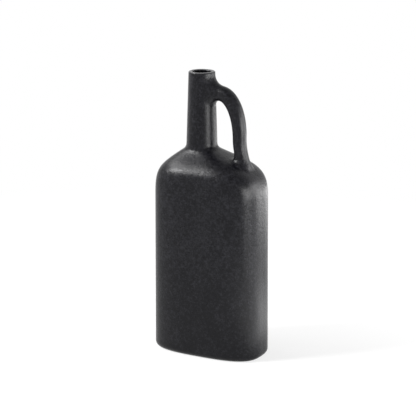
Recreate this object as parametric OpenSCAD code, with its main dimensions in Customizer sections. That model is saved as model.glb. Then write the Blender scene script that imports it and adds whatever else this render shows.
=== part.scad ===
// Jug vase: one hollow casting of dark stoneware, with an oblong body, a shoulder that
// gathers into a round neck set off to one side, and a looped handle from neck to shoulder.
// The origin is on the ground under the middle of the body. The broad face looks along -Y
// and the handle is on the +X side.

/* [Body] */
// Width across the broad face, just above the foot
foot_w = 165; // [150:1:180]
// Width across the broad face, where the shoulder starts
shoulder_w = 155; // [146:1:172]
// Depth from front to back, just above the foot
foot_d = 91; // [80:1:102]
// Depth from front to back, where the shoulder starts
shoulder_d = 97; // [84:1:106]
// Height of the straight sides, from the ground to the start of the shoulder
side_h = 227; // [180:1:260]
// Squareness of the body's section at the foot: 2 is an oval and more is squarer
foot_squareness = 2.9; // [2.5:0.1:4]
// Squareness of the body's section where the shoulder starts
shoulder_squareness = 3.5; // [2.8:0.1:4.4]
// Radius of the rounded edge round the foot
foot_edge = 8; // [4:0.5:10]
// Thickness of the wall
wall = 6; // [4.5:0.5:7]
// Thickness of the floor above the recess
floor_t = 8; // [6:0.5:12]
// Width of the ring that the vase stands on
foot_ring = 9; // [6:0.5:14]
// Depth of the recess inside the ring
recess = 1.5; // [0.5:0.5:3]

/* [Shoulder] */
// Rise of the shoulder, from the straight sides to the foot of the neck
shoulder_h = 66.5; // [58:0.5:76]
// Slope at which the shoulder leaves the neck, in degrees
shoulder_slope = 28.5; // [22:0.5:34]
// How long the shoulder holds its slope: a share of its run
slope_hold = 0.53; // [0.45:0.01:0.6]
// How long the shoulder holds the upright of the sides: a share of its run
side_hold = 0.43; // [0.38:0.01:0.5]
// How soon the front and back reach their full depth: more is sooner
front_spread = 1.7; // [1.5:0.05:2.4]
// How steeply the front and back fall away from the neck: 1 is the least
front_fall = 1.75; // [1:0.05:2.2]
// How soon the round section turns oblong: more is sooner
square_spread = 4.8; // [3:0.1:6]

/* [Neck] */
// Length of the neck, from the shoulder to the rim
neck_h = 106.5; // [98:0.5:124]
// Diameter of the neck at its foot
neck_foot_d = 43.4; // [40:0.2:48]
// Diameter of the neck at the rim
neck_top_d = 37; // [35:0.2:42]
// Bore of the mouth and neck
bore_d = 26; // [22:0.2:28]
// How far the neck stands to the left of the middle of the body
neck_shift = 15; // [8:0.5:20]
// Radius of the hollow where the neck meets the shoulder
neck_fillet = 9; // [5:0.5:12]

/* [Handle] */
// Distance from the rim down to the middle of the handle where it leaves the neck
handle_below_rim = 28.6; // [26:0.1:33]
// Distance from the middle of the neck to the middle of the handle's upright leg
handle_reach = 58.7; // [52:0.1:64]
// Height of the handle's arch, from the start of its upright leg
arch_h = 60.8; // [52:0.1:70]
// Fullness of the arch: 2 is round and more is fuller at its corner
arch_fullness = 2.07; // [2:0.01:2.6]
// How far the leg leans out on its way down
leg_lean = 2.8; // [0:0.1:4]
// Thickness of the handle at the neck, in its own plane
handle_t_top = 21; // [18:0.2:24]
// Thickness of the handle at the shoulder, in its own plane
handle_t_foot = 17.1; // [15:0.1:20]
// Breadth of the handle, from front to back
handle_breadth = 20.1; // [18:0.1:24]
// Squareness of the handle's section: 2 is an oval and more is squarer
handle_squareness = 2.4; // [2:0.1:3]
// Radius of the hollows where the handle meets the neck and the shoulder
handle_fillet = 8.5; // [5:0.5:10]

/* [Hidden] */
rim_z = side_h + shoulder_h + neck_h;
neck_z = side_h + shoulder_h;
neck_r = neck_foot_d / 2;
bore_r = bore_d / 2;
lip_r = (neck_top_d - bore_d) / 4;
lip_z = rim_z - lip_r;
lip_ring_r = neck_top_d / 2 - lip_r;
run = shoulder_w / 2 - neck_r;
overlap = 1;
body_sides = 72;
cavity_sides = 48;
handle_sides = 28;
body_steps = 4;
edge_steps = 5;
shoulder_steps = 15;
fillet_steps = 5;
lip_steps = 5;
arch_steps = 16;
leg_steps = 3;
recess_sides = 64;

function mix(a, b, t) = a + (b - a) * t;
function signed_pow(v, e) = sign(v) * pow(abs(v), e);
function bezier(p, t) = pow(1 - t, 3) * p[0] + 3 * pow(1 - t, 2) * t * p[1]
    + 3 * (1 - t) * t * t * p[2] + pow(t, 3) * p[3];

// A level section is [middle in x, half width, half depth, squareness, height].
function oblong(row, sides) = [for (i = [0 : sides - 1]) let (a = 360 * i / sides)
    [row[0] + row[1] * signed_pow(cos(a), 2 / row[3]),
     row[2] * signed_pow(sin(a), 2 / row[3]), row[4]]];

// The sides, between the ground and the shoulder, drawn in by an inset
function side_row(z, inset) = let (t = z / side_h)
    [0, mix(foot_w, shoulder_w, t) / 2 - inset, mix(foot_d, shoulder_d, t) / 2 - inset,
     mix(foot_squareness, shoulder_squareness, t), z];
function foot_rows(inset, z0, r) = [for (k = [0 : edge_steps]) let (a = 90 * k / edge_steps)
    side_row(z0 + r * (1 - cos(a)), inset + r * (1 - sin(a)))];
function side_rows(inset, z0) = [for (k = [1 : body_steps])
    side_row(mix(z0, side_h, k / body_steps), inset)];

// The shoulder's profile is [distance out from the neck, height]. A hollow of neck_fillet
// leads from the neck into the slope, and a curve leads from there to the upright side.
turn = 90 - shoulder_slope;
tangent = neck_fillet * tan(turn / 2);
slope = [cos(shoulder_slope), -sin(shoulder_slope)];
slope_start = [0, neck_z] + tangent * slope;
profile_len = norm([run, shoulder_h]);
profile = [slope_start, slope_start + slope_hold * profile_len * slope,
    [run, side_h + side_hold * profile_len], [run, side_h]];
fillet_mid = [neck_fillet, neck_z + tangent];
function neck_out(z) = mix(neck_r, neck_top_d / 2, (z - neck_z) / (lip_z - neck_z));
function shoulder_row(p) = let (u = p[0] / run, r = neck_out(max(p[1], neck_z)))
    [-neck_shift * (1 - u), r + (shoulder_w / 2 - neck_r) * u,
     r + (shoulder_d / 2 - neck_r) * pow(1 - pow(1 - u, front_spread), front_fall),
     2 + (shoulder_squareness - 2) * (1 - pow(1 - u, square_spread)), p[1]];
shoulder_rows = [for (k = [shoulder_steps - 1 : -1 : 0])
    shoulder_row(bezier(profile, k / shoulder_steps))];
fillet_rows = [for (k = [1 : fillet_steps]) let (a = 180 + turn * (1 - k / fillet_steps))
    shoulder_row(fillet_mid + neck_fillet * [cos(a), sin(a)])];
lip_rows = [for (k = [0 : lip_steps]) let (a = 150 * k / lip_steps, r = lip_ring_r + lip_r * cos(a))
    [-neck_shift, r, r, 2, lip_z + lip_r * sin(a)]];
mouth_row = [-neck_shift, bore_r - 2 * overlap, bore_r - 2 * overlap, 2, lip_z];

// The hollow inside keeps the wall's thickness under each section of the outside
function inner_row(rows, i) = let (d = rows[i + 1] - rows[i - 1], h = abs(d[4]),
        out = h / norm([d[1], h]), up = abs(d[1]) / norm([d[1], h]), fore = h / norm([d[2], h]))
    [rows[i][0], rows[i][1] - wall * out, rows[i][2] - wall * fore, rows[i][3],
     rows[i][4] - wall * up];
outer_shoulder = concat([side_row(side_h, 0)], shoulder_rows, [fillet_rows[0]]);
inner_shoulder = [for (i = [1 : shoulder_steps - 1]) inner_row(outer_shoulder, i)];
hollow_top = inner_shoulder[len(inner_shoulder) - 1];
throat_r = bore_r - overlap / 2;
throat_row = [-neck_shift, throat_r, throat_r, 2,
    hollow_top[4] + (hollow_top[1] - throat_r) * tan(shoulder_slope)];

// A closed skin through rings of points, each ring with the same number of points
module skin(rings) {
    n = len(rings[0]);
    last = len(rings) - 1;
    faces = concat(
        [[for (i = [0 : n - 1]) i]],
        [for (k = [0 : last - 1], i = [0 : n - 1]) let (j = (i + 1) % n)
            each [[k * n + i, (k + 1) * n + j, k * n + j],
                  [k * n + i, (k + 1) * n + i, (k + 1) * n + j]]],
        [[for (i = [n - 1 : -1 : 0]) last * n + i]]);
    polyhedron([for (r = rings) each r], faces);
}

module outside() {
    rows = concat(foot_rows(0, 0, foot_edge), side_rows(0, foot_edge), shoulder_rows,
        fillet_rows, lip_rows, [mouth_row]);
    skin([for (r = rows) oblong(r, body_sides)]);
}

module hollow() {
    z0 = recess + floor_t;
    rows = concat(foot_rows(wall, z0, foot_edge), side_rows(wall, z0 + foot_edge),
        inner_shoulder, [throat_row]);
    skin([for (r = rows) oblong(r, cavity_sides)]);
}

// The straight bore of the neck, from the hollow to the rim
module bore() {
    translate([-neck_shift, 0, throat_row[4] - overlap])
        cylinder(h = rim_z - throat_row[4] + 2 * overlap, r = bore_r, $fn = 96);
}

// The shallow recess underneath leaves a ring to stand on
module underside() {
    inset = foot_edge + foot_ring;
    translate([0, 0, -overlap])
        linear_extrude(height = recess + overlap)
            polygon([for (p = oblong(side_row(0, inset), recess_sides)) [p[0], p[1]]]);
}

// Height of the shoulder over a point, found by halving the profile
function shoulder_over(x, y, lo = 0, hi = 1, n = 16) = let (t = (lo + hi) / 2,
        row = shoulder_row(bezier(profile, t)))
    n == 0 ? row[4] :
    pow(abs((x - row[0]) / row[1]), row[3]) + pow(abs(y / row[2]), row[3]) > 1
        ? shoulder_over(x, y, t, hi, n - 1) : shoulder_over(x, y, lo, t, n - 1);

// The handle's middle line: a straight start, a quarter arch and a leg that leans out
handle_z = rim_z - handle_below_rim;
leg_x = handle_reach - neck_shift;
leg_top = handle_z - arch_h;
arch_x = neck_out(handle_z) + handle_fillet - neck_shift;
landing_x = leg_x + leg_lean;
landing_z = shoulder_over(landing_x, 0);
leg_foot = shoulder_over(landing_x - handle_t_foot / 2, 0) + handle_fillet;
function arch_point(a) = [arch_x + (leg_x - arch_x) * signed_pow(sin(a), 2 / arch_fullness),
    handle_z - arch_h * (1 - signed_pow(cos(a), 2 / arch_fullness))];
function leg_point(t) = [leg_x + leg_lean * t * t, mix(leg_top, leg_foot, t)];
handle_line = concat([for (k = [0 : arch_steps]) arch_point(90 * k / arch_steps)],
    [for (k = [1 : leg_steps]) leg_point(k / leg_steps)]);
handle_last = len(handle_line) - 1;

// Half thickness along the handle, and its section's points where both halves measure 1
function thick_at(s) = mix(handle_t_top, handle_t_foot, s) / 2;
handle_section = [for (i = [0 : handle_sides - 1]) let (a = -360 * i / handle_sides)
    [signed_pow(cos(a), 2 / handle_squareness), signed_pow(sin(a), 2 / handle_squareness)]];
function handle_ring(k) = let (
        fore = handle_line[min(k + 1, handle_last)] - handle_line[max(k - 1, 0)],
        dir = fore / norm(fore), t = thick_at(k / handle_last))
    [for (c = handle_section) [handle_line[k][0] - dir[1] * t * c[0],
        handle_breadth / 2 * c[1], handle_line[k][1] + dir[0] * t * c[0]]];

// Where the handle meets the neck and the shoulder its rings swell along a hollow and follow
// the surface under them. f is the angle round the hollow, and the ring stands off by rise.
function swell(f) = handle_fillet * (1 - cos(f));
function rise(f) = handle_fillet * (1 - sin(f));
function neck_ring(f, rise) = [for (c = handle_section)
    let (y = (handle_breadth / 2 + swell(f) / 2) * c[1],
         z = handle_z + (thick_at(0) + swell(f)) * c[0], r = neck_out(z))
    [sqrt(r * r - y * y) - neck_shift + rise, y, z]];
function foot_ring_of_leg(f, rise) = [for (c = handle_section)
    let (x = landing_x + (thick_at(1) + swell(f)) * c[0],
         y = (handle_breadth / 2 + swell(f)) * c[1])
    [x, y, shoulder_over(x, y) + rise]];

module handle() {
    hollow_angles = [72, 54, 36, 18];
    deep = wall / 2;
    skin(concat(
        [neck_ring(72, -deep)],
        [for (f = hollow_angles) neck_ring(f, rise(f))],
        [for (k = [0 : handle_last]) handle_ring(k)],
        [for (k = [len(hollow_angles) - 1 : -1 : 0])
            foot_ring_of_leg(hollow_angles[k], rise(hollow_angles[k]))],
        [foot_ring_of_leg(72, -deep)]));
}

module jug_vase() {
    color("#2f2f31")
    difference() {
        union() {
            outside();
            handle();
        }
        hollow();
        bore();
        underside();
    }
}

jug_vase();
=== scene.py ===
"""The jug vase's looks: one smooth skin over the frame's solid, in dark speckled stoneware.

The skin is drawn from the same sizes as the solid. Its surface is where a distance function
is zero, so that the handle flows into the neck and the shoulder in one piece.
"""
import math

import bpy
import numpy as np
from mathutils import Euler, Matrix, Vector


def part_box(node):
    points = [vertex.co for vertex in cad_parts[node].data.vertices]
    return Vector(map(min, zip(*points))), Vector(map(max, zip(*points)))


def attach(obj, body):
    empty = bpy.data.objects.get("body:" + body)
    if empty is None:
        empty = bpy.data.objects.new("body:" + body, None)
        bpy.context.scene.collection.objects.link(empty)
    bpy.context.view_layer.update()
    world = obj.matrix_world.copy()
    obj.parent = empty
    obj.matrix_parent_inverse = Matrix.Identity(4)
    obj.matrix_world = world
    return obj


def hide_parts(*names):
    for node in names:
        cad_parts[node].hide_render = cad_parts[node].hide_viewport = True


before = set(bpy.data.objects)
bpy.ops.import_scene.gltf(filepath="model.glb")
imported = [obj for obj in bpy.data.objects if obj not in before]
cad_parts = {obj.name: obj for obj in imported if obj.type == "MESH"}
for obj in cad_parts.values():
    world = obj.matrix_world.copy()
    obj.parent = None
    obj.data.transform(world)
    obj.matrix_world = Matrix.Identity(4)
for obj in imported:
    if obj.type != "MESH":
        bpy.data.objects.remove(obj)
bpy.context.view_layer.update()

# Sizes in metres. The rim's height and the box that the skin stays in come from the frame.
low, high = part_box("jug_vase")
MM = 0.001
SIDE_H = 227 * MM
SHOULDER_H = 66.5 * MM
FOOT_W, SHOULDER_W = 165 * MM, 155 * MM
FOOT_D, SHOULDER_D = 91 * MM, 97 * MM
FOOT_SQUARENESS, SHOULDER_SQUARENESS = 2.9, 3.5
FOOT_EDGE = 8 * MM
FOOT_RING = 9 * MM
RECESS = 1.5 * MM
RECESS_SLOPE = 4 * MM
WALL = 6 * MM
FLOOR_T = 8 * MM
SHOULDER_SLOPE = math.radians(28.5)
SLOPE_HOLD, SIDE_HOLD = 0.53, 0.43
FRONT_SPREAD, FRONT_FALL, SQUARE_SPREAD = 1.7, 1.75, 4.8
NECK_FOOT_D, NECK_TOP_D = 43.4 * MM, 37 * MM
BORE_D = 26 * MM
NECK_SHIFT = 15 * MM
NECK_FILLET = 9 * MM
HANDLE_BELOW_RIM = 28.6 * MM
HANDLE_REACH = 58.7 * MM
ARCH_H = 60.8 * MM
ARCH_FULLNESS = 2.07
LEG_LEAN = 2.8 * MM
HANDLE_T_TOP, HANDLE_T_FOOT = 21 * MM, 17.1 * MM
HANDLE_BREADTH = 20.1 * MM
HANDLE_SQUARENESS = 2.4
HANDLE_FILLET = 8.5 * MM
HANDLE_TOP_FILLET = 14.5 * MM
# The handle's line starts this far inside the bore, which is cut out after it.
HEAD_INTO_BORE = 5 * MM
LIP_EDGE = 1.6 * MM

NECK_Z = SIDE_H + SHOULDER_H
RIM_Z = high.z
NECK_R = NECK_FOOT_D / 2
BORE_R = BORE_D / 2
# The neck's taper ends where the solid's half-round lip begins.
LIP_Z = RIM_Z - (NECK_TOP_D - BORE_D) / 4
RUN = SHOULDER_W / 2 - NECK_R
MIDDLE = Vector((0, 0, RIM_Z / 2))
# The squareness of a section that is an ellipse or a circle.
ROUND = 2
TINY = 1e-9
# The level sections go on this far past the foot and the rim, where the vase is cut off.
BEYOND = 20 * MM

# The grid that the skin is drawn on: start, stop and step of each stretch of lines, in millimetres.
GRID_X = ((-86, -38, 2.6), (-38, 58, 1.6), (58, 86, 2.6))
GRID_Y = ((-50, -24, 2.4), (-24, 24, 1.5), (24, 50, 2.4))
GRID_Z = ((-2, 14, 1.6), (14, 224, 5), (224, 300, 2.2), (300, 390, 2.4), (390, 402, 0.7))

# Colours are linear: red, green, blue and one for opaque.
DARK_CLAY = (0.0, 0.0, 0.0012, 1)
PALE_CLAY = (0.011, 0.011, 0.014, 1)
WORN_LIP_AND_HIGHLIGHT = (0.085, 0.085, 0.088, 1)
WHITE = (1, 1, 1, 1)
# A painted shade darkens the clay below this height. The lip gets paler, partly as worn clay and
# partly as a painted highlight on its top, from the first of these depths under the rim to the
# second.
PAINTED_FOOT_SHADE_H = 170 * MM
PALE_FROM, PALE_AT = 1.0 * MM, 0.3 * MM
GRAIN_H = 0.3 * MM


def mix(a, b, t):
    return a + (b - a) * t


def smooth(t):
    """From zero to one, level at both ends."""
    return t * t * (3 - 2 * t)


def neck_out(z):
    """Outside radius of the neck at a height."""
    return mix(NECK_R, NECK_TOP_D / 2, (z - NECK_Z) / (LIP_Z - NECK_Z))


def side_section(z, inset):
    """Level section of the straight sides: middle, half width, half depth, squareness, height."""
    t = z / SIDE_H
    return [0, mix(FOOT_W, SHOULDER_W, t) / 2 - inset, mix(FOOT_D, SHOULDER_D, t) / 2 - inset,
            mix(FOOT_SQUARENESS, SHOULDER_SQUARENESS, t), z]


def shoulder_profile(curve_points=400, hollow_points=80):
    """Distance out from the neck and height, from the sides up to the neck."""
    turn = math.pi / 2 - SHOULDER_SLOPE
    tangent = NECK_FILLET * math.tan(turn / 2)
    slope = np.array([math.cos(SHOULDER_SLOPE), -math.sin(SHOULDER_SLOPE)])
    length = math.hypot(RUN, SHOULDER_H)
    start = np.array([0, NECK_Z]) + tangent * slope
    held = start + SLOPE_HOLD * length * slope
    upright = np.array([RUN, SIDE_H + SIDE_HOLD * length])
    end = np.array([RUN, SIDE_H])
    t = np.linspace(1, 0, curve_points)[:, None]
    curve = ((1 - t) ** 3 * start + 3 * (1 - t) ** 2 * t * held
             + 3 * (1 - t) * t * t * upright + t ** 3 * end)
    a = math.pi + turn * np.linspace(1, 0, hollow_points)[1:]
    hollow = np.stack([np.cos(a), np.sin(a)], 1) * NECK_FILLET
    hollow += [NECK_FILLET, NECK_Z + tangent]
    return curve, hollow


def sections():
    """Tables of level sections from the foot to the rim, for the outside and the inside."""
    curve, hollow = shoulder_profile()
    out, z = np.concatenate([curve, hollow]).T
    u = np.clip(out / RUN, 0, 1)
    r = neck_out(np.maximum(z, NECK_Z))
    rows = np.stack([-NECK_SHIFT * (1 - u), r + (SHOULDER_W / 2 - NECK_R) * u,
                     r + (SHOULDER_D / 2 - NECK_R) * (1 - (1 - u) ** FRONT_SPREAD) ** FRONT_FALL,
                     mix(ROUND, SHOULDER_SQUARENESS, 1 - (1 - u) ** SQUARE_SPREAD), z], 1)
    above = neck_out(RIM_Z + BEYOND)
    top = [-NECK_SHIFT, above, above, ROUND, RIM_Z + BEYOND]
    outside = np.vstack([side_section(-BEYOND, 0), rows, top])
    step = np.abs(np.gradient(rows, axis=0))
    across, deep, up = step[:, 1], step[:, 2], step[:, 4]
    inner = rows.copy()
    inner[:, 1] -= WALL * up / np.hypot(across, up)
    inner[:, 2] -= WALL * up / np.hypot(deep, up)
    inner[:, 4] -= WALL * across / np.hypot(across, up)
    inner = inner[:len(curve)]
    inner = inner[inner[:, 1] > BORE_R]
    throat_z = inner[-1, 4] + (inner[-1, 1] - BORE_R) * math.tan(SHOULDER_SLOPE)
    bore = [[-NECK_SHIFT, BORE_R, BORE_R, ROUND, z] for z in (throat_z, RIM_Z + BEYOND)]
    inside = np.vstack([side_section(-BEYOND, WALL), inner, bore])
    return outside, inside


OUTSIDE, INSIDE = sections()


def oblong(table, x, y, z):
    """Below zero inside the level section at z, and above zero outside it."""
    middle, half_w, half_d, power = [np.interp(z, table[:, 4], table[:, k]) for k in range(4)]
    u, v = np.abs(x - middle) / half_w, np.abs(y) / half_d
    m = np.maximum(np.maximum(u, v), TINY)
    return m * ((u / m) ** power + (v / m) ** power) ** (1 / power) - 1


def sections_distance(table, x, y, z, e=0.05 * MM, least=0.1):
    """About the distance to a wall of level sections, below zero inside it.

    The steepness is measured over the length e and taken as no less than least.
    """
    f = oblong(table, x, y, z)
    steepness = np.sqrt((oblong(table, x + e, y, z) - f) ** 2 + (oblong(table, x, y + e, z) - f) ** 2
                        + (oblong(table, x, y, z + e) - f) ** 2) / e
    return f / np.maximum(steepness, least)


def shoulder_over(x, levels=2000):
    """Height of the shoulder over a point on the handle's plane, found among so many levels."""
    z = np.linspace(SIDE_H, NECK_Z, levels)
    return z[np.argmax(oblong(OUTSIDE, np.full_like(z, x), np.zeros_like(z), z) > 0)]


def handle_line(head_points=7, arch_points=60, leg_points=19):
    """The handle's middle line in its plane, from inside the neck to inside the shoulder."""
    z = RIM_Z - HANDLE_BELOW_RIM
    leg_x, leg_top = HANDLE_REACH - NECK_SHIFT, z - ARCH_H
    arch_x = neck_out(z) + HANDLE_FILLET - NECK_SHIFT
    landing = shoulder_over(leg_x + LEG_LEAN)
    leg_foot = shoulder_over(leg_x + LEG_LEAN - HANDLE_T_FOOT / 2) + HANDLE_FILLET
    a = np.linspace(0, math.pi / 2, arch_points)
    head_x = BORE_R - HEAD_INTO_BORE - NECK_SHIFT
    head = [[x, z] for x in np.linspace(head_x, arch_x, head_points + 1)[:-1]]
    arch = np.stack([arch_x + (leg_x - arch_x) * np.sin(a) ** (2 / ARCH_FULLNESS),
                     z - ARCH_H * (1 - np.abs(np.cos(a)) ** (2 / ARCH_FULLNESS))], 1)
    t = np.linspace(0, 1, leg_points + 1)[1:]
    leg = np.stack([leg_x + LEG_LEAN * t * t, mix(leg_top, leg_foot, t)], 1)
    along = leg[-1] - leg[-2]
    sunk = (leg_foot - landing + WALL / 2) / np.linalg.norm(along)
    line = np.vstack([head, arch, leg, leg[-1] + sunk * along])
    run = np.concatenate([[0], np.cumsum(np.linalg.norm(np.diff(line, axis=0), axis=1))])
    first, last = run[len(head)], run[-2]
    return line, np.clip((run - first) / (last - first), 0, 1)


LINE, SHARE = handle_line()


def handle_distance(x, y, z, far=1.0):
    """About the distance to the handle's rod; points out of its reach are taken as far."""
    out = np.full(x.shape, far)
    reach = 3 * HANDLE_FILLET + HANDLE_BREADTH
    near = ((x > LINE[:, 0].min() - reach) & (z > LINE[:, 1].min() - reach)
            & (x < LINE[:, 0].max() + reach) & (np.abs(y) < reach))
    start, along = LINE[:-1], np.diff(LINE, axis=0)
    px, py, pz = x[near][:, None], y[near], z[near][:, None]
    t = ((px - start[:, 0]) * along[:, 0] + (pz - start[:, 1]) * along[:, 1]) / (along ** 2).sum(1)
    t = np.clip(t, 0, 1)
    gap = (px - start[:, 0] - t * along[:, 0]) ** 2 + (pz - start[:, 1] - t * along[:, 1]) ** 2
    k = gap.argmin(1)
    row = np.arange(len(k))
    gap, t = np.sqrt(gap[row, k]), t[row, k]
    thick = mix(HANDLE_T_TOP, HANDLE_T_FOOT, mix(SHARE[k], SHARE[k + 1], t)) / 2
    broad = HANDLE_BREADTH / 2
    u, v, power = gap / thick + TINY, np.abs(py) / broad + TINY, HANDLE_SQUARENESS
    ratio = (u ** power + v ** power) ** (1 / power)
    slope = np.hypot((u / ratio) ** (power - 1) / thick, (v / ratio) ** (power - 1) / broad)
    out[near] = (ratio - 1) / slope
    return out


def round_both(a, b, r):
    """What is inside both, with the edge between them rounded."""
    edge = np.hypot(np.maximum(a + r, 0), np.maximum(b + r, 0)) - r
    return np.where(np.maximum(a, b) > -r, edge, np.maximum(a, b))


def round_either(a, b, r):
    """What is inside either, with a hollow of radius r between them."""
    return np.maximum(r, np.minimum(a, b)) - np.hypot(np.maximum(r - a, 0), np.maximum(r - b, 0))


def vase(x, y, z):
    """About the distance to the vase's surface, below zero in the clay."""
    side = sections_distance(OUTSIDE, x, y, z)
    inset = sections_distance(OUTSIDE, x, y, np.zeros_like(z)) + FOOT_EDGE + FOOT_RING
    share = np.clip(-inset / RECESS_SLOPE, 0, 1)
    body = round_both(side, RECESS * smooth(share) - z, FOOT_EDGE)
    # The hollow between neck and handle is wider over the handle's upper end than under it.
    over_handle = np.clip((z - RIM_Z + HANDLE_BELOW_RIM) / (HANDLE_T_TOP / 2), 0, 1)
    fillet = mix(HANDLE_FILLET, HANDLE_TOP_FILLET, smooth(over_handle))
    solid = round_either(body, handle_distance(x, y, z), fillet)
    hollow = sections_distance(INSIDE, x, y, z)
    hollow = round_both(hollow, RECESS + FLOOR_T - z, FOOT_EDGE)
    return round_both(np.maximum(solid, -hollow), z - RIM_Z, LIP_EDGE)


def grid_lines(stretches, coarse):
    """Grid lines in metres from stretches of start, stop and step in millimetres."""
    lines = [stretches[0][0]]
    for start, stop, step in stretches:
        n = max(1, round((stop - start) / (step * coarse)))
        lines += list(start + (stop - start) * np.arange(1, n + 1) / n)
    return np.array(lines) * MM


def skin_of(field, axes):
    """Points and four-sided faces where the field changes sign on a grid."""
    values = field(*np.meshgrid(*axes, indexing="ij"))
    inside = values < 0
    cells = np.array(values.shape) - 1
    total, count = np.zeros((*cells, 3)), np.zeros(cells)
    crossings = []
    for axis in range(3):
        ends = [slice(0, -1) if k == axis else slice(None) for k in range(3)]
        starts = [slice(1, None) if k == axis else slice(None) for k in range(3)]
        a, b = values[tuple(ends)], values[tuple(starts)]
        changed = (a < 0) != (b < 0)
        at = np.argwhere(changed)
        t = a[changed] / (a[changed] - b[changed])
        points = np.stack([axes[k][at[:, k]] for k in range(3)], 1)
        points[:, axis] = mix(points[:, axis], axes[axis][at[:, axis] + 1], t)
        crossings.append((axis, at, a[changed] < 0))
        u, v = (axis + 1) % 3, (axis + 2) % 3
        for du, dv in ((0, 0), (0, 1), (1, 0), (1, 1)):
            cell = at.copy()
            cell[:, u] -= du
            cell[:, v] -= dv
            np.add.at(total, tuple(cell.T), points)
            np.add.at(count, tuple(cell.T), 1)
    used = count > 0
    number = np.full(cells, -1)
    number[used] = np.arange(used.sum())
    points = total[used] / count[used][:, None]
    faces = []
    for axis, at, solid_first in crossings:
        u, v = (axis + 1) % 3, (axis + 2) % 3
        corners = []
        for du, dv in ((1, 1), (0, 1), (0, 0), (1, 0)):
            cell = at.copy()
            cell[:, u] -= du
            cell[:, v] -= dv
            corners.append(number[tuple(cell.T)])
        quads = np.stack(corners, 1)
        quads[~solid_first] = quads[~solid_first][:, ::-1]
        faces.append(quads)
    return points, np.concatenate(faces)


def outward(points, faces, least=1e-12):
    """Normals of length one at the points. A normal shorter than least is left short."""
    a, b, c, d = [points[faces[:, k]] for k in range(4)]
    face_normal = np.cross(c - a, d - b)
    normal = np.zeros_like(points)
    for k in range(4):
        for axis in range(3):
            normal[:, axis] += np.bincount(faces[:, k], face_normal[:, axis], len(points))
    return normal / np.maximum(np.linalg.norm(normal, axis=1, keepdims=True), least)


def settle(field, points, faces, even_rounds=3, last_rounds=3, evened=0.5, cap=1 * MM):
    """Evens out the points and puts them back on the surface, by no more than cap at a time."""
    edges = np.concatenate([faces[:, [k, (k + 1) % 4]] for k in range(4)])
    edges = np.concatenate([edges, edges[:, ::-1]])
    degree = np.bincount(edges[:, 0], minlength=len(points))[:, None]
    for k in range(even_rounds + last_rounds):
        if k < even_rounds:
            near = [np.bincount(edges[:, 0], points[edges[:, 1], axis], len(points))
                    for axis in range(3)]
            points = mix(points, np.stack(near, 1) / degree, evened)
        move = np.clip(field(*points.T), -cap, cap)
        points = points - outward(points, faces) * move[:, None]
    return points


def make_vase(coarse):
    """The vase as one closed mesh, finer round the neck, the handle and the shoulder."""
    axes = [grid_lines(stretches, coarse) for stretches in (GRID_X, GRID_Y, GRID_Z)]
    points, faces = skin_of(vase, axes)
    points = settle(vase, points, faces)
    points = np.clip(points, np.array(low), np.array(high))
    mesh = bpy.data.meshes.new("vase_skin")
    mesh.from_pydata(points.tolist(), [], faces.tolist())
    mesh.update()
    mesh.shade_smooth()
    piece = bpy.data.objects.new("vase_skin", mesh)
    bpy.context.scene.collection.objects.link(piece)
    return piece


class Nodes:
    """A small helper that adds and joins a material's nodes."""

    def __init__(self, tree):
        self.tree = tree

    def add(self, kind, inputs=None, **settings):
        """Adds a node. Its inputs go by name, or by number where several share a name."""
        node = self.tree.nodes.new(kind)
        for name, value in settings.items():
            setattr(node, name, value)
        for name, value in (inputs or {}).items():
            if isinstance(value, bpy.types.NodeSocket):
                self.tree.links.new(value, node.inputs[name])
            else:
                node.inputs[name].default_value = value
        return node

    def noise(self, place, scale, detail, roughness):
        node = self.add("ShaderNodeTexNoise", {"Vector": place, "Scale": scale, "Detail": detail,
                                               "Roughness": roughness})
        return node.outputs["Fac"]

    def spread(self, value, start, stop, low_value, high_value):
        """Goes from the low to the high value as a value goes from start to stop."""
        node = self.add("ShaderNodeMapRange", {"Value": value, "From Min": start, "From Max": stop,
                                               "To Min": low_value, "To Max": high_value})
        return node.outputs["Result"]

    def maths(self, operation, a, b):
        node = self.add("ShaderNodeMath", operation=operation)
        for socket, value in zip(node.inputs, (a, b)):
            if isinstance(value, bpy.types.NodeSocket):
                self.tree.links.new(value, socket)
            else:
                socket.default_value = value
        return node.outputs[0]

    def total(self, values):
        """Adds up values, the first one first."""
        so_far, *others = values
        for value in others:
            so_far = self.maths("ADD", so_far, value)
        return so_far


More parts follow.
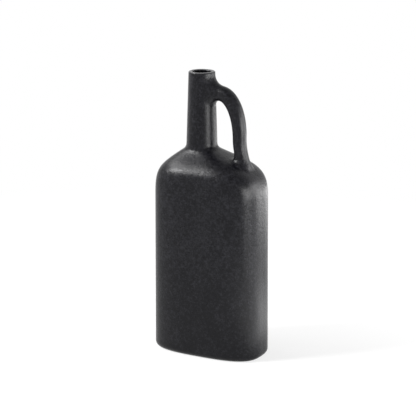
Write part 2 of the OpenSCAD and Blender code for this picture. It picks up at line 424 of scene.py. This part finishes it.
def stoneware():
    """Dark stoneware: a satin near-black clay with a fine graphite speckle."""
    material = bpy.data.materials.new("stoneware")
    material.use_nodes = True
    nodes = Nodes(material.node_tree)
    shader = material.node_tree.nodes["Principled BSDF"]
    place = nodes.add("ShaderNodeTexCoord").outputs["Object"]
    height = nodes.add("ShaderNodeSeparateXYZ", {"Vector": place}).outputs["Z"]
    speckle = nodes.noise(place, scale=520, detail=3, roughness=0.6)
    grain = nodes.noise(place, scale=1400, detail=2, roughness=0.5)
    mottle = nodes.noise(place, scale=210, detail=2, roughness=0.6)
    cloud = nodes.noise(place, scale=38, detail=3, roughness=0.55)
    # How pale the clay is: four sizes of spots, and a painted shade that darkens it towards the
    # foot.
    light = nodes.total([nodes.spread(speckle, 0.41, 0.70, 0.0, 1.05),
                         nodes.spread(grain, 0.4, 0.8, -0.15, 0.45),
                         nodes.spread(mottle, 0.35, 0.7, -0.45, 0.5),
                         nodes.spread(cloud, 0.3, 0.7, -0.2, 0.2),
                         nodes.spread(height, 0, PAINTED_FOOT_SHADE_H, -0.4, 0.0)])
    ramp = nodes.add("ShaderNodeValToRGB", {"Fac": light})
    ramp.color_ramp.elements[0].color = DARK_CLAY
    ramp.color_ramp.elements[1].color = PALE_CLAY
    # The lip's paler colour is partly worn clay and partly a painted highlight on its top.
    lip_wear_and_highlight = nodes.spread(height, RIM_Z - PALE_FROM, RIM_Z - PALE_AT, 0, 1)
    color = nodes.add("ShaderNodeMix", {0: lip_wear_and_highlight, 6: ramp.outputs["Color"], 7: WORN_LIP_AND_HIGHLIGHT},
                      data_type="RGBA")
    material.node_tree.links.new(color.outputs[2], shader.inputs["Base Color"])
    rough = nodes.spread(speckle, 0.3, 0.7, 0.26, 0.36)
    material.node_tree.links.new(rough, shader.inputs["Roughness"])
    relief = nodes.total([nodes.maths("MULTIPLY", noise, share)
                          for noise, share in ((speckle, 0.6), (grain, 0.3), (mottle, 0.9))])
    bump = nodes.add("ShaderNodeBump", {"Strength": 1.0, "Distance": GRAIN_H, "Height": relief})
    material.node_tree.links.new(bump.outputs["Normal"], shader.inputs["Normal"])
    shader.inputs["IOR"].default_value = 1.5
    shader.inputs["Specular IOR Level"].default_value = 0.22
    return material


def seen(nodes):
    """One for the rays that see the background: the camera's, glossy ones and transmitted ones."""
    path = nodes.add("ShaderNodeLightPath")
    either = nodes.maths("MAXIMUM", path.outputs["Is Camera Ray"], path.outputs["Is Glossy Ray"])
    return nodes.maths("MAXIMUM", either, path.outputs["Is Transmission Ray"])


def make_world(ambient, ceiling, white_to=0.3, ceiling_from=0.6):
    """A white background under a darker ceiling, and a plain grey light from all round.

    white_to and ceiling_from are heights on a ball of radius one.
    """
    world = bpy.data.worlds.new("studio")
    bpy.context.scene.world = world
    world.use_nodes = True
    nodes = Nodes(world.node_tree)
    background = world.node_tree.nodes["Background"]
    direction = nodes.add("ShaderNodeTexCoord").outputs["Generated"]
    height = nodes.add("ShaderNodeSeparateXYZ", {"Vector": direction}).outputs["Z"]
    backdrop = nodes.spread(height, white_to, ceiling_from, 1, ceiling)
    strength = nodes.add("ShaderNodeMix", {0: seen(nodes), 2: ambient, 3: backdrop}).outputs[0]
    world.node_tree.links.new(strength, background.inputs["Strength"])
    background.inputs["Color"].default_value = WHITE


def make_floor(own_light, shade, clear_from=0.3, clear_at=1.0, reach=12.0, plain_shade=0.8):
    """A white floor that keeps a faint shadow near the vase, and is plain white further off.

    The clear distances and the reach are in metres. plain_shade is how pale the floor is for
    the light that it throws at the vase.
    """
    mesh = bpy.data.meshes.new("floor")
    corners = [(-reach, -reach, 0), (reach, -reach, 0), (reach, reach, 0), (-reach, reach, 0)]
    mesh.from_pydata(corners, [], [(0, 1, 2, 3)])
    floor = bpy.data.objects.new("floor", mesh)
    bpy.context.scene.collection.objects.link(floor)
    material = bpy.data.materials.new("floor")
    material.use_nodes = True
    tree = material.node_tree
    nodes = Nodes(tree)
    tree.nodes.remove(tree.nodes["Principled BSDF"])
    place = nodes.add("ShaderNodeTexCoord").outputs["Object"]
    distance = nodes.add("ShaderNodeVectorMath", {0: place}, operation="LENGTH").outputs["Value"]
    plain, faint = [nodes.add("ShaderNodeBsdfDiffuse", {"Color": (grey, grey, grey, 1)})
                    for grey in (plain_shade, shade)]
    glow, white = [nodes.add("ShaderNodeEmission", {"Color": WHITE, "Strength": strength})
                   for strength in (own_light, 1.0)]
    near = nodes.add("ShaderNodeAddShader", {0: faint.outputs[0], 1: glow.outputs[0]})
    far = nodes.spread(distance, clear_from, clear_at, 0, 1)
    both = nodes.add("ShaderNodeMixShader", {0: far, 1: near.outputs[0], 2: white.outputs[0]})
    choice = nodes.add("ShaderNodeMixShader",
                       {0: seen(nodes), 1: plain.outputs[0], 2: both.outputs[0]})
    tree.links.new(choice.outputs[0], tree.nodes["Material Output"].inputs["Surface"])
    mesh.materials.append(material)


def away(azimuth, elevation):
    """The direction at an azimuth from the front towards the right and an elevation, in degrees."""
    a, e = math.radians(azimuth), math.radians(elevation)
    return Vector((math.sin(a) * math.cos(e), -math.cos(a) * math.cos(e), math.sin(e)))


def make_lamp(name, azimuth, elevation, distance, size, power):
    """A soft light that faces the middle of the vase."""
    lamp = bpy.data.lights.new(name, "AREA")
    lamp.shape = "RECTANGLE"
    lamp.size, lamp.size_y = size
    lamp.energy = power
    back = away(azimuth, elevation)
    holder = bpy.data.objects.new(name, lamp)
    holder.location = MIDDLE + back * distance
    holder.rotation_mode = "QUATERNION"
    holder.rotation_quaternion = back.to_track_quat("Z", "Y")
    bpy.context.scene.collection.objects.link(holder)


def make_floor_glow(name, azimuth, distance, size, power, above=4 * MM):
    """The light that a brightly lit floor beside the vase throws up at it."""
    make_lamp(name, azimuth, 0, distance, size, power)
    holder = bpy.data.objects[name]
    holder.location.z = above
    holder.rotation_quaternion = Euler((math.pi, 0, math.radians(azimuth))).to_quaternion()


def make_camera(azimuth, elevation, distance, beside, height, lens_px,
                frame_px=416, sensor=36.0, sees_to=100):
    """The photograph's camera. lens_px is its focal length in pixels of the photograph."""
    back = away(azimuth, elevation)
    right = away(azimuth + 90, 0)
    camera = bpy.data.cameras.new("camera")
    camera.sensor_width = sensor
    camera.lens = lens_px * sensor / frame_px
    camera.clip_end = sees_to
    holder = bpy.data.objects.new("camera", camera)
    holder.location = right * beside + Vector((0, 0, height)) + back * distance
    holder.rotation_mode = "QUATERNION"
    holder.rotation_quaternion = (-back).to_track_quat("-Z", "Y")
    bpy.context.scene.collection.objects.link(holder)
    bpy.context.scene.camera = holder


bpy.context.scene.view_settings.view_transform = "Standard"
make_camera(azimuth=28, elevation=14.574, distance=2.226,
            beside=-0.004855, height=0.207453, lens_px=1591.5)
make_world(ambient=0.3, ceiling=0.7)
make_floor(own_light=0.7, shade=0.3)
# Sizes and distances are in metres, powers in watts and angles in degrees.
make_lamp("key_lamp", azimuth=313, elevation=32, distance=2.0, size=(0.4, 0.4), power=37)
make_lamp("high_left_lamp", azimuth=298, elevation=48, distance=2.0, size=(1.0, 0.4), power=20.5)
make_lamp("left_lamp", azimuth=262, elevation=46, distance=2.0, size=(0.8, 0.5), power=7)
make_lamp("right_lamp", azimuth=85, elevation=3, distance=1.2, size=(1.0, 0.4), power=14.5)
make_lamp("right_back_lamp", azimuth=127, elevation=6, distance=1.2, size=(0.9, 0.5), power=6.2)
make_lamp("low_back_lamp", azimuth=160, elevation=-8, distance=0.9, size=(0.4, 0.13), power=1.0)
make_floor_glow("right_floor_glow", azimuth=90, distance=0.32, size=(0.6, 0.36), power=1.0)
make_floor_glow("near_floor_glow", azimuth=110, distance=0.2, size=(0.3, 0.14), power=0.09)
make_floor_glow("front_floor_glow", azimuth=40, distance=0.33, size=(0.4, 0.3), power=0.2)

skin = make_vase(coarse=1.0)
skin.data.materials.append(stoneware())
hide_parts("jug_vase")
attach(skin, "root")
